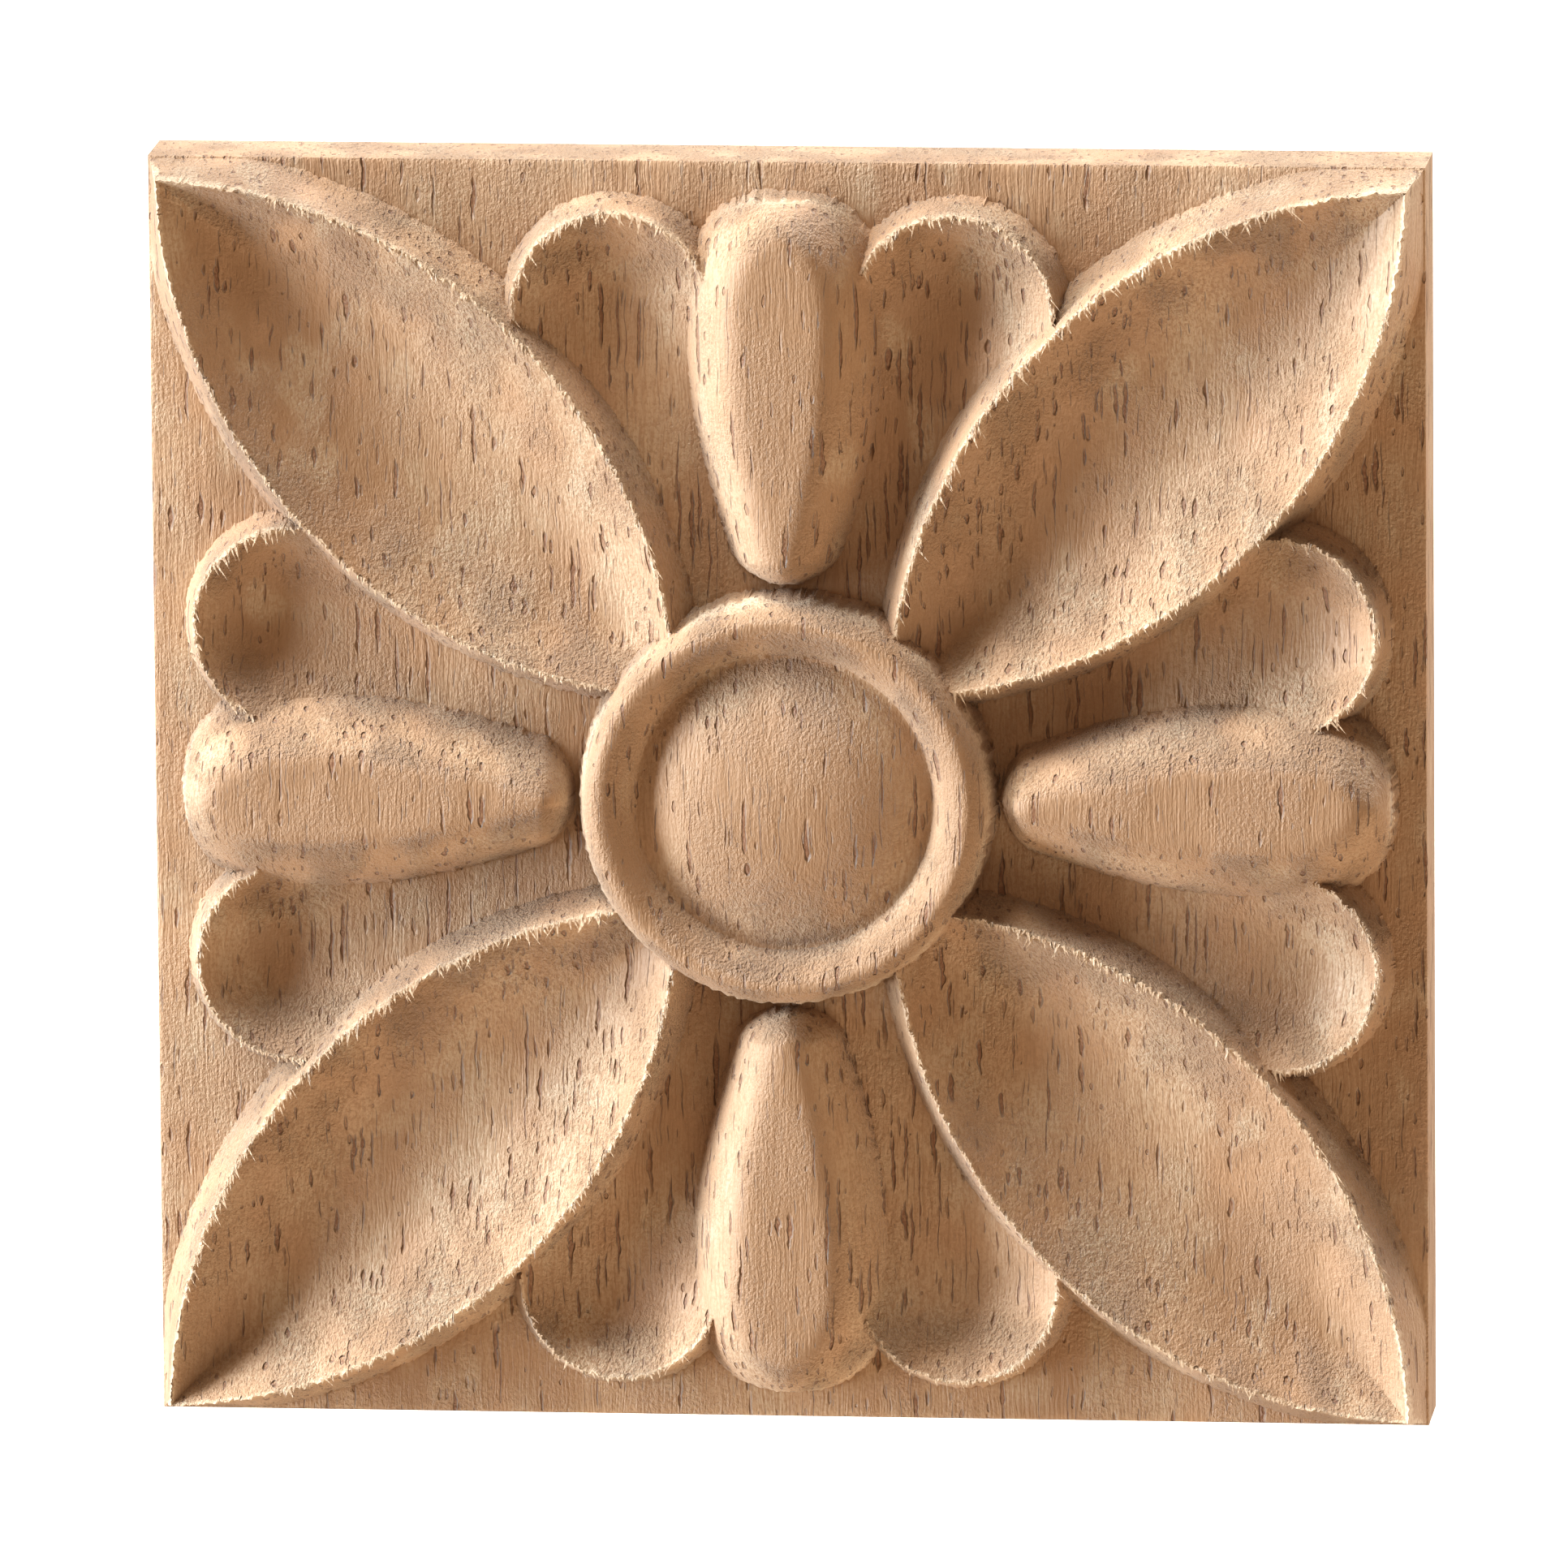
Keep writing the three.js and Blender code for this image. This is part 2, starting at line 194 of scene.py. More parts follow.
# Sizes of the timber's patterns in millimetres, across and along the grain, and how far its vessels and
# streaks sway to the side and inwards
BAND_SIZE = (7, 60)
CLOUD_SIZE = (3, 5)
STREAK_SIZE = (0.16, 3.5)
GRIT_SIZE = (0.2, 0.26)
BEAD_SIZE = (0.35, 0.7)
ZONE_SIZE = (4, 6)
SWAY_SIZE = (1.4, 2.2)
SWAY_REACH = (0.45, 0.25)

# Cut vessels: the cell that holds each one, by spacing, layer and pitch, and its own radius and reach
LONG_PORES = {"spacing": 0.62, "layer": 0.69, "pitch": 6.5, "radius": 0.14, "reach": 3.0}
SHORT_PORES = {"spacing": 0.6, "layer": 0.62, "pitch": 2.4, "radius": 0.09, "reach": 0.8}
PORE_HALF_DEPTH = 0.22

# How deep the patterns go into the surface, in millimetres, and its gloss
STREAK_DEPTH = 0.08
PORE_DEPTH = 0.25
LONG_GRAIN_GRIT = 0.1
END_GRAIN_GRIT = 0.38
ROUGHNESS_RANGE = (0.42, 0.62)
SPECULAR = 0.6
SHEEN = 0.25
SHEEN_ROUGHNESS = 0.5

# The picture: angles in degrees and distance in metres of the camera, and the photograph's width, its
# scale and the middle of the block's board in it, in pixels
CAMERA_AZIMUTH = 6.0
CAMERA_ELEVATION = 11.0
CAMERA_ROLL = -0.45
CAMERA_DISTANCE = 1.5
CAMERA_FAR_END = 30
SENSOR_WIDTH = 36
PICTURE_WIDTH = 1932
PICTURE_PIXELS_PER_MM = 19.69
BLOCK_IN_PICTURE = (973, 976)

# The studio, in metres
SOFTBOX_DISTANCE = 1.2
FLOOR_REACH = 8.0
FLOOR_LEVEL = -0.25
FLOOR_COLOUR = (0.95, 0.95, 0.95, 1)
SKY_COLOUR = (1.0, 0.68, 0.45, 1)
SKY_STRENGTH = 0.31

# Sizes that follow from those above
LEAF_TIP = BLOCK_SIDE / math.sqrt(2) - LEAF_CORNER_GAP
LEAF_HEEL = RING_FOOT_RADIUS - LEAF_HEEL_TUCK
LEAF_MIDDLE = (LEAF_TIP + LEAF_HEEL) / 2
LEAF_REACH = (LEAF_TIP - LEAF_HEEL) / 2
LEAF_ARC_RADIUS = (LEAF_REACH ** 2 + LEAF_HALF_WIDTH ** 2) / (2 * LEAF_HALF_WIDTH)
LEAF_ARC_CENTRE = LEAF_ARC_RADIUS - LEAF_HALF_WIDTH
CLUB_OUTER_END = BLOCK_SIDE / 2 - CLUB_EDGE_GAP
CLUB_INNER_END = RING_FOOT_RADIUS + CLUB_RING_GAP
LOBE_TURN = math.radians(LOBE_BEARING)
LOBE_END_CENTRE = (BLOCK_SIDE / 2 - LOBE_EDGE_GAP - LOBE_HALF_WIDTH) / math.cos(LOBE_TURN)
LOBE_THROAT = RING_CREST_RADIUS - LOBE_TUCK
BUTTON_RADIUS = RING_INNER_RADIUS - MOAT_WIDTH

# What is on top at a point of the face. The side that a point lies on is added, so that each label
# is one smooth surface and every edge of the carving is a border between two labels.
GROUND = 0
LOBE_HOLLOW = 10
LOBE_WALL = 20
CLUB = 30
LEAF_SCOOP = 50
LEAF_WALL = 60
RING_OUTER = 70
RING_INNER = 80
MOAT = 90
BUTTON = 100


def lerp(a, b, share):
    return a + (b - a) * share


def smoothstep(value, low, high):
    share = np.clip((value - low) / (high - low), 0, 1)
    return share * share * (3 - 2 * share)


def turned_to_nearest(u, v, offset):
    """Coordinates along and across the nearest of four spokes, which start at the angle offset."""
    turn = offset + np.round((np.arctan2(v, u) - offset) / QUARTER) * QUARTER
    along = u * np.cos(turn) + v * np.sin(turn)
    across = v * np.cos(turn) - u * np.sin(turn)
    return along, across


def leaf_half_width(along):
    chord = np.sqrt(np.maximum(LEAF_ARC_RADIUS ** 2 - (along - LEAF_MIDDLE) ** 2, 0))
    return np.maximum(chord - LEAF_ARC_CENTRE, TINY)


def leaf_outside(along, across):
    """How far a point lies outside a leaf's outline, less than 0 inside it."""
    return np.hypot(along - LEAF_MIDDLE, np.abs(across) + LEAF_ARC_CENTRE) - LEAF_ARC_RADIUS


def leaf_scoop(along, across):
    """A crisp valley by the tip that turns into a round hollow where the leaf is wide."""
    half_width = leaf_half_width(along)
    share = np.clip(np.abs(across) / half_width, 0, 1)
    wide = half_width / LEAF_HALF_WIDTH
    roundness = np.where(along < LEAF_MIDDLE, np.maximum(wide, LEAF_HEEL_ROUNDNESS), wide)
    power = lerp(LEAF_TIP_POWER, LEAF_WIDE_POWER, roundness ** LEAF_POWER_GROWTH)
    depth = LEAF_SCOOP_DEPTH * np.tanh(LEAF_SCOOP_SLOPE * half_width / LEAF_SCOOP_DEPTH)
    return LEAF_RIM_HEIGHT - depth * (1 - share ** power)


def leaf_wall(along, outside):
    """The wall outside a leaf's rim, steeper by the tip."""
    rim_along = LEAF_MIDDLE + (along - LEAF_MIDDLE) * LEAF_ARC_RADIUS / (LEAF_ARC_RADIUS + outside)
    at_tip = smoothstep(rim_along, LEAF_TIP - LEAF_TIP_SHARE * LEAF_REACH, LEAF_TIP)
    return LEAF_RIM_HEIGHT * (1 - outside / lerp(LEAF_WALL_DRAFT, LEAF_TIP_DRAFT, at_tip))


def club_profile(along, at_neck, at_widest):
    """A club's width or height: a short round nose, a swelling, and a blunt bulb at the outer end."""
    widest = CLUB_OUTER_END - CLUB_BULB_LENGTH
    nose = np.clip((along - CLUB_INNER_END) / CLUB_NECK_ROUND, 0, 1)
    bulb = np.clip((along - widest) / CLUB_BULB_LENGTH, 0, 1)
    swell = np.clip((along - CLUB_INNER_END) / (widest - CLUB_INNER_END), 0, 1)
    size = lerp(at_neck, at_widest, np.sin(QUARTER * swell))
    return size * np.sqrt(1 - (1 - nose) ** 2) * (1 - bulb ** CLUB_BULB_POWER) ** (1 / CLUB_BULB_POWER)


def club_height(along, across):
    """A convex back with nearly plane flanks, planed off on top with a soft edge."""
    half_width = np.maximum(club_profile(along, CLUB_NECK_HALF_WIDTH, CLUB_HALF_WIDTH), TINY)
    crown = club_profile(along, CLUB_NECK_HEIGHT, CLUB_CROWN_HEIGHT)
    share = np.clip(np.abs(across) / half_width, 0, 1)
    round_back = crown * (1 - share ** CLUB_SECTION_POWER) ** (1 / CLUB_SECTION_POWER)
    share = np.clip(0.5 + 0.5 * (CLUB_PLANED_HEIGHT - round_back) / CLUB_PLANED_SOFTNESS, 0, 1)
    return lerp(CLUB_PLANED_HEIGHT, round_back, share) - CLUB_PLANED_SOFTNESS * share * (1 - share)


def lobe_height(along, across):
    """The height of the lobe beside a club, and whether the point is in its hollow."""
    run = along * math.cos(LOBE_TURN) + np.abs(across) * math.sin(LOBE_TURN)
    aside = np.abs(across) * math.cos(LOBE_TURN) - along * math.sin(LOBE_TURN)
    share_along = np.clip((run - LOBE_THROAT) / (LOBE_END_CENTRE - LOBE_THROAT), 0, 1)
    half_width = lerp(LOBE_THROAT_HALF_WIDTH, LOBE_HALF_WIDTH, share_along)
    reach = np.where(run > LOBE_END_CENTRE, np.hypot(run - LOBE_END_CENTRE, aside), np.abs(aside))
    share = reach / half_width
    hollow = LOBE_FLOOR_HEIGHT + (LOBE_RIM_HEIGHT - LOBE_FLOOR_HEIGHT) * share ** LOBE_HOLLOW_POWER
    wall = LOBE_RIM_HEIGHT * (1 - (reach - half_width) / LOBE_WALL_DRAFT)
    return np.where(share <= 1, hollow, wall), share <= 1


def centre_height(radius):
    """The turned middle: a bead-shaped ring, a narrow moat and a domed button, and which of them it is."""
    outward = np.clip((radius - RING_CREST_RADIUS) / (RING_FOOT_RADIUS - RING_CREST_RADIUS), 0, 1)
    inward = np.clip((RING_CREST_RADIUS - radius) / (RING_CREST_RADIUS - RING_INNER_RADIUS), 0, 1)
    outer = RING_CREST_HEIGHT * np.sqrt(1 - outward ** 2)
    inner = MOAT_HEIGHT + (RING_CREST_HEIGHT - MOAT_HEIGHT) * (1 - inward ** 2)
    share = np.clip(radius / BUTTON_RADIUS, 0, 1)
    button = MOAT_HEIGHT + (BUTTON_HEIGHT - MOAT_HEIGHT) * (1 - share ** BUTTON_FULLNESS)
    places = [radius >= RING_CREST_RADIUS, radius >= RING_INNER_RADIUS, radius >= BUTTON_RADIUS]
    height = np.select(places, [outer, inner, np.full_like(radius, MOAT_HEIGHT)], button)
    return height, np.select(places, [RING_OUTER, RING_INNER, MOAT], BUTTON)


def relief(u, v):
    """The carving's height over the board's face, and the label of what is on top."""
    height = np.zeros_like(u)
    label = np.full(u.shape, GROUND)

    def lay(candidate, name):
        nonlocal height, label
        label = np.where(candidate > height, name, label)
        height = np.maximum(candidate, height)

    along, across = turned_to_nearest(u, v, 0)
    side = (across > 0).astype(int)
    leaf_along, leaf_across = turned_to_nearest(u, v, QUARTER / 2)
    outside = leaf_outside(leaf_along, leaf_across)
    leaf_side = (leaf_across > 0).astype(int)

    lobe, in_hollow = lobe_height(along, across)
    lobe = np.where((outside < 0) | (along < 0), 0, lobe)
    lay(lobe, np.where(in_hollow, LOBE_HOLLOW, LOBE_WALL) + side)
    scoop = leaf_scoop(leaf_along, leaf_across)
    wall = leaf_wall(leaf_along, np.maximum(outside, 0))
    lay(np.where(outside < 0, scoop, wall), np.where(outside < 0, LEAF_SCOOP, LEAF_WALL) + leaf_side)
    lay(club_height(along, across), CLUB)

    radius = np.hypot(u, v)
    height = np.where(radius < RING_CREST_RADIUS, 0, height)
    lay(*centre_height(radius))
    return height, label


def slope_at(u, v):
    """The relief's rise per millimetre to the right and upwards."""
    right = (relief(u + SLOPE_STEP, v)[0] - relief(u - SLOPE_STEP, v)[0]) / (2 * SLOPE_STEP)
    upward = (relief(u, v + SLOPE_STEP)[0] - relief(u, v - SLOPE_STEP)[0]) / (2 * SLOPE_STEP)
    return right, upward


def steepness_at(points):
    return np.hypot(*slope_at(*points.T))


def staggered_points(half, spacing, generator):
    """Points over a square in staggered rows, a little off their places, clear of the border."""
    inner = half - 0.5 * spacing
    rows = int(2 * inner / (spacing * math.sqrt(3) / 2))
    columns = int(2 * inner / spacing)
    v, u = np.mgrid[0:rows + 1, 0:columns + 1].astype(float)
    u = (u + 0.5 * (v % 2) - 0.25) / columns
    points = np.stack([lerp(-inner, inner, u), lerp(-inner, inner, v / rows)], -1).reshape(-1, 2)
    points += generator.uniform(-SCATTER_SHARE * spacing, SCATTER_SHARE * spacing, points.shape)
    return points[np.abs(points).max(1) <= inner]


def border_points(half):
    """Points around a square's border, once round to the left."""
    count = int(2 * half / BORDER_SPACING)
    run = np.linspace(-half, half, count + 1)[:-1]
    edge = np.full(count, half)
    return np.concatenate([
        np.stack([run, -edge], -1),
        np.stack([edge, run], -1),
        np.stack([-run, edge], -1),
        np.stack([-edge, -run], -1),
    ])


def on_border(points, half):
    return np.abs(points).max(1) > half - TINY


def perimeter_order(points):
    """The order of points on a square's border, once round to the left."""
    half = np.abs(points).max()
    u, v = points[:, 0], points[:, 1]
    side = np.select([v <= -half + TINY, u >= half - TINY, v >= half - TINY], [0, 1, 2], 3)
    run = np.select([side == 0, side == 1, side == 2], [u, v, -u], -v)
    side = np.where((side == 0) & (u >= half - TINY), 1, side)
    run = np.where((side == 1) & (v <= -half + TINY), -half, run)
    return np.lexsort([run, side])


def triangulate(points):
    result = delaunay_2d_cdt([Vector(p) for p in points.tolist()], [], [], 0, MERGE_DISTANCE)
    return np.array(result[2])


def edge_points(points, triangles):
    """Where the triangles' sides cross from one label to another."""
    sides = np.concatenate([triangles[:, [0, 1]], triangles[:, [1, 2]], triangles[:, [2, 0]]])
    sides = np.unique(np.sort(sides, 1), axis=0)
    labels = relief(*points.T)[1]
    sides = sides[labels[sides[:, 0]] != labels[sides[:, 1]]]
    near, far = points[sides[:, 0]], points[sides[:, 1]]
    near_labels = labels[sides[:, 0]]
    for _ in range(EDGE_HALVINGS):
        middle = (near + far) / 2
        same = (relief(*middle.T)[1] == near_labels)[:, None]
        near = np.where(same, middle, near)
        far = np.where(same, far, middle)
    return (near + far) / 2


def search_tree(points):
    tree = kdtree.KDTree(len(points))
    for i, point in enumerate(points.tolist()):
        tree.insert((*point, 0), i)
    tree.balance()
    return tree


def thinned(points, gap):
    """The points without those that come closer than the gap to one kept before them."""
    tree = search_tree(points)
    dropped = np.zeros(len(points), bool)
    for i, point in enumerate(points.tolist()):
        if not dropped[i]:
            for _, other, _ in tree.find_range((*point, 0), gap):
                if other > i:
                    dropped[other] = True
    return points[~dropped]


def clear_of(points, others, gap):
    """The points that stay the gap away from all the others."""
    tree = search_tree(others)
    distance = np.array([tree.find((*point, 0))[2] for point in points.tolist()])
    return points[distance > gap]


def face_points(half):
    """Points of the face, finer on slopes and finest along every edge of the carving.

    The border comes first, in order, and the edges of the carving next. Both are counted.
    """
    generator = np.random.default_rng(FACE_SEED)
    flat = staggered_points(half, FLAT_SPACING, generator)
    sloping = staggered_points(half, SLOPE_SPACING, generator)
    flat = flat[steepness_at(flat) < STEEP]
    sloping = sloping[steepness_at(sloping) >= STEEP]
    sloping = clear_of(sloping, flat, CLOSEST_SHARE * SLOPE_SPACING)
    border = border_points(half)
    first = np.concatenate([border, flat, sloping])
    edges = edge_points(first, triangulate(first))
    clear = np.abs(edges).max(1) < half - EDGE_SPACING / 2
    edges = thinned(edges[on_border(edges, half) | clear], CLOSEST_SHARE * EDGE_SPACING)
    inner = clear_of(np.concatenate([flat, sloping]), edges, EDGE_SPACING)
    ends = on_border(edges, half)
    border = thinned(np.concatenate([border, edges[ends]]), BORDER_CLOSEST_SHARE * EDGE_SPACING)
    border = border[perimeter_order(border)]
    edges = edges[~ends]
    return np.concatenate([border, edges, inner]), len(border), len(edges)


def noise_at(points, waves, seed):
    """Smooth noise between -1 and 1 at 3-D points, with its waves per millimetre along each axis."""
    moved = points * np.asarray(waves) + SEED_SHIFT * seed
    return np.array([noise.noise(Vector(p)) for p in moved.tolist()])


def ragged_at(points, waves, seeds):
    """Noise of two sizes for ragged edges, a weaker coarse one and a fine one."""
    return COARSE_TEETH * noise_at(points, waves[0], seeds[0]) + noise_at(points, waves[1], seeds[1])


def ridge_at(u, v, height):
    """How far a point stands over the relief just around it: more than 0 on rims, less in the feet."""
    turns = np.arange(RIDGE_TURNS) * 4 * QUARTER / RIDGE_TURNS
    around = [relief(u + RIDGE_REACH * math.cos(t), v + RIDGE_REACH * math.sin(t))[0] for t in turns]
    return height - np.mean(around, axis=0)


def roughened(u, v, h, ridge):
    """The relief as a cutter leaves it in wood: slightly uneven, fuzzy across the grain, ragged at edges."""
    points = np.stack([u, v, h], -1)
    right, upward = slope_at(u, v)
    steepness = np.hypot(right, upward)
    across_grain = smoothstep(np.abs(upward) / np.sqrt(1 + steepness ** 2), *ACROSS_GRAIN)
    by_edge = TEETH * smoothstep(np.abs(ridge), *RAGGED_RIDGE)
    upright = ragged_at(points, UPRIGHT_TEETH_WAVES, (1, 6))
    lying = ragged_at(points, LYING_TEETH_WAVES, (7, 8))
    drift = SIDEWAYS_WOBBLE * WOBBLE
    u_out = u + drift * noise_at(points, SIDEWAYS_WAVES, 2) + SIDEWAYS_TEETH * by_edge * lying
    v_out = v + drift * noise_at(points, SIDEWAYS_WAVES, 3) + by_edge * upright
    fuzz = FUZZ * (FUZZ_ALONG_GRAIN + across_grain) * noise_at(points, FUZZ_WAVES, 4)
    h_out = h + WOBBLE * noise_at(points, WOBBLE_WAVES, 5) + fuzz
    inset = smoothstep(BLOCK_SIDE / 2 - np.maximum(np.abs(u), np.abs(v)), *CALM_BORDER)
    rough_height = np.maximum(inset, BORDER_ROUGHNESS)
    return lerp(u, u_out, inset), lerp(v, v_out, inset), lerp(h, h_out, rough_height)


def torn_fibres(rims, ridge):
    """Slivers of wood along the rims: slender closed spikes that mostly point down the grain."""
    generator = np.random.default_rng(FIBRE_SEED)
    kept = (ridge > FIBRE_RIDGE) & (generator.random(len(rims)) < FIBRE_SHARE)
    kept &= np.abs(rims[:, :2]).max(1) < BLOCK_SIDE / 2 - 2 * FIBRE_LENGTH
    root = rims[kept]
    count = len(root)
    lean = generator.normal(FIBRE_LEAN, FIBRE_LEAN_SPREAD, count)
    rise = generator.uniform(*FIBRE_RISE_RANGE, count)
    length = FIBRE_LENGTH * generator.uniform(FIBRE_SHORTEST, 1, count) ** 2
    below = relief(root[:, 0], root[:, 1] - FIBRE_LENGTH)[0]
    above = relief(root[:, 0], root[:, 1] + FIBRE_LENGTH)[0]
    length *= np.where(below < above, FIBRE_OVERHANG, 1)
    tip = root + np.column_stack([lean * length, -length, rise * length])
    half_width = FIBRE_HALF_WIDTH * generator.uniform(*FIBRE_WIDTH_RANGE, (count, 1))
    aside = half_width * np.array([1.0, 0.0, 0.0])
    down = np.array([0.0, 0.0, FIBRE_DEPTH * FIBRE_HALF_WIDTH])
    corners = np.stack([root - aside, root + aside, root - down, tip], 1)
    corners[:, :3, 1] += FIBRE_HALF_WIDTH
    corners[:, :, 2] = np.minimum(corners[:, :, 2], BUTTON_HEIGHT)
    sides = np.array([[0, 3, 1], [1, 3, 2], [2, 3, 0], [0, 1, 2]])
    return corners.reshape(-1, 3), (sides[None] + 4 * np.arange(count)[:, None, None]).reshape(-1, 3)


class Shell:
    """The vertices and triangles of one mesh, added part by part."""

    def __init__(self):
        self.points = []
        self.faces = []
        self.count = 0

    def add(self, points):
        """Adds vertices and gives their numbers."""
        first = self.count
        self.points.append(points)
        self.count += len(points)
        return np.arange(first, self.count)


def outset(border, half, bulge):
    """The border's places on the face, moved out from its half side by the bulge."""
    return border[:, :2] * (half + bulge) / half


def side_rows(border, half):
    """Rows of points from the face's border round the arris, down the side and round to the back."""
    rows = []
    for drop, bulge in ARRIS_STEPS:
        rows.append(np.column_stack([outset(border, half, bulge * ARRIS), border[:, 2] - drop * ARRIS]))
    for share in SIDE_SHARES:
        level = lerp(border[:, 2] - ARRIS, ARRIS - BOARD_THICKNESS, share)
        rows.append(np.column_stack([outset(border, half, ARRIS), level]))
    for drop, bulge in reversed(ARRIS_STEPS):
        level = np.full(len(border), drop * ARRIS - BOARD_THICKNESS)
        rows.append(np.column_stack([outset(border, half, bulge * ARRIS), level]))
    rows.append(np.column_stack([border[:, :2], np.full(len(border), -BOARD_THICKNESS)]))
    return rows


def strip(upper, lower):
    """Triangles between two rings of vertices of one length, given as index arrays."""
    upper_next, lower_next = np.roll(upper, -1), np.roll(lower, -1)
    return np.concatenate([
        np.column_stack([upper, lower, lower_next]),
        np.column_stack([upper, lower_next, upper_next]),
    ])


def close_behind(shell, border, half):
    """Adds the arrises, the sides and the flat back, from the face's border backwards."""
    above = np.arange(len(border))
    rows = side_rows(border, np.abs(border[:, :2]).max())
    for row in rows:
        below = shell.add(row)
        shell.faces.append(strip(above, below))
        above = below
    fill = staggered_points(half, BACK_SPACING, np.random.default_rng(BACK_SEED))
    fill = np.column_stack([fill, np.full(len(fill), -BOARD_THICKNESS)])
    numbers = np.concatenate([above, shell.add(fill)])
    back = np.concatenate([rows[-1], fill])[:, :2]
    shell.faces.append(numbers[triangulate(back)][:, ::-1])


def written_mesh(shell, ridges):
    """The mesh in the frame, kept inside the block's box, with its ridges as an attribute."""
    u, v, h = np.concatenate(shell.points).T
    limit = BLOCK_SIDE / 2
    placed = np.column_stack([
        np.clip(u, -limit, limit),
        -np.clip(BOARD_THICKNESS + h, 0, BOARD_THICKNESS + BUTTON_HEIGHT),
        np.clip(v, -limit, limit),
    ]) * MM
    mesh = bpy.data.meshes.new("carved_wood")
    mesh.from_pydata(placed.tolist(), [], np.concatenate(shell.faces).tolist())
    mesh.update()
    mesh.shade_smooth()
    mesh.set_sharp_from_angle(angle=math.radians(SMOOTH_ANGLE))
    mesh.attributes.new("ridge", "FLOAT", "POINT").data.foreach_set("value", ridges)
    return mesh


def block_mesh():
    half = BLOCK_SIDE / 2 - ARRIS
    face, border_count, edge_count = face_points(half)
    u, v = face.T
    height = relief(u, v)[0]
    ridge = ridge_at(u, v, height)
    points = np.column_stack(roughened(u, v, height, ridge))

    shell = Shell()
    shell.add(points)
    shell.faces.append(triangulate(face))
    close_behind(shell, points[:border_count], half)
    body_count = shell.count
    on_edge = slice(border_count, border_count + edge_count)
    fibres, fibre_faces = torn_fibres(points[on_edge], ridge[on_edge])
    shell.add(fibres)
    shell.faces.append(fibre_faces + body_count)

    ridges = np.zeros(shell.count, np.float32)
    ridges[:len(ridge)] = ridge
    ridges[body_count:] = RIDGE_REACH
    return written_mesh(shell, ridges)


def per_metre(across, along):
    """A texture's scale from the size of its features across and along the grain, which runs up the block."""
    return (MM_PER_METRE / across, MM_PER_METRE / across, MM_PER_METRE / along)


class NodeTree:
    """Short ways to add nodes to a material and join them."""

    def __init__(self, tree):
        self.tree = tree

    def add(self, kind, inputs=None, **settings):
        node = self.tree.nodes.new(kind)
        for name, value in settings.items():
            setattr(node, name, value)
        for name, value in (inputs or {}).items():
            if isinstance(value, bpy.types.NodeSocket):
                self.tree.links.new(value, node.inputs[name])
            else:
                node.inputs[name].default_value = value
        return node

    def math(self, operation, a, b=0.0):
        return self.add("ShaderNodeMath", {0: a, 1: b}, operation=operation).outputs[0]

    def times(self, a, b):
        return self.math("MULTIPLY", a, b)

    def plus(self, a, b):
        return self.math("ADD", a, b)

    def vector(self, operation, a, b):
        return self.add("ShaderNodeVectorMath", {0: a, 1: b}, operation=operation).outputs[0]

    def parts(self, vector):
        return self.add("ShaderNodeSeparateXYZ", {0: vector}).outputs

    def ramp(self, value, low, high, to_low=0.0, to_high=1.0):
        """A smooth step from one result to another as the value goes from low to high."""
        inputs = {0: value, 1: low, 2: high, 3: to_low, 4: to_high}
        return self.add("ShaderNodeMapRange", inputs, interpolation_type="SMOOTHSTEP").outputs[0]

    def noise_node(self, vector, size, detail, roughness=0.5):
        inputs = {
            "Vector": self.vector("MULTIPLY", vector, per_metre(*size)),
            "Scale": 1.0,
            "Detail": detail,
            "Roughness": roughness,
        }
        return self.add("ShaderNodeTexNoise", inputs)

    def noise(self, vector, size, detail, roughness=0.5):
        return self.noise_node(vector, size, detail, roughness).outputs["Fac"]

    def mix(self, share, a, b):
        inputs = {0: share, 6: a, 7: b}
        return self.add("ShaderNodeMix", inputs, data_type="RGBA").outputs[2]


def pores(tree, place, beads, spacing, layer, pitch, radius, reach):
    """Cut vessels: slender pockets along the grain, one to a cell, of varied width and length."""
    scale = (MM_PER_METRE / spacing, MM_PER_METRE / layer, MM_PER_METRE / pitch)
    scaled = tree.vector("MULTIPLY", place, scale)
    cells = tree.add("ShaderNodeTexVoronoi", {"Vector": scaled, "Scale": 1.0}, feature="F1").outputs
    from_middle = tree.vector("SUBTRACT", scaled, cells["Position"])
    to_pocket = (spacing / radius, layer / PORE_HALF_DEPTH, pitch / reach)
    aside, inward, run = tree.parts(tree.vector("MULTIPLY", from_middle, to_pocket))
    chance = tree.add("ShaderNodeSeparateColor", {0: cells["Color"]}).outputs
    width = tree.times(tree.ramp(chance[0], 0.15, 1.0, 0.2, 1.3), beads)
    length = tree.ramp(chance[1], 0.0, 1.0, 0.15, 1.0)
    aside = tree.math("DIVIDE", aside, width)
    run = tree.math("DIVIDE", run, length)
    joined = tree.add("ShaderNodeCombineXYZ", {0: aside, 1: inward, 2: run}).outputs[0]
    distance = tree.add("ShaderNodeVectorMath", {0: joined}, operation="LENGTH").outputs["Value"]
    return tree.ramp(distance, 0.65, 1.1, 1.0, 0.0)


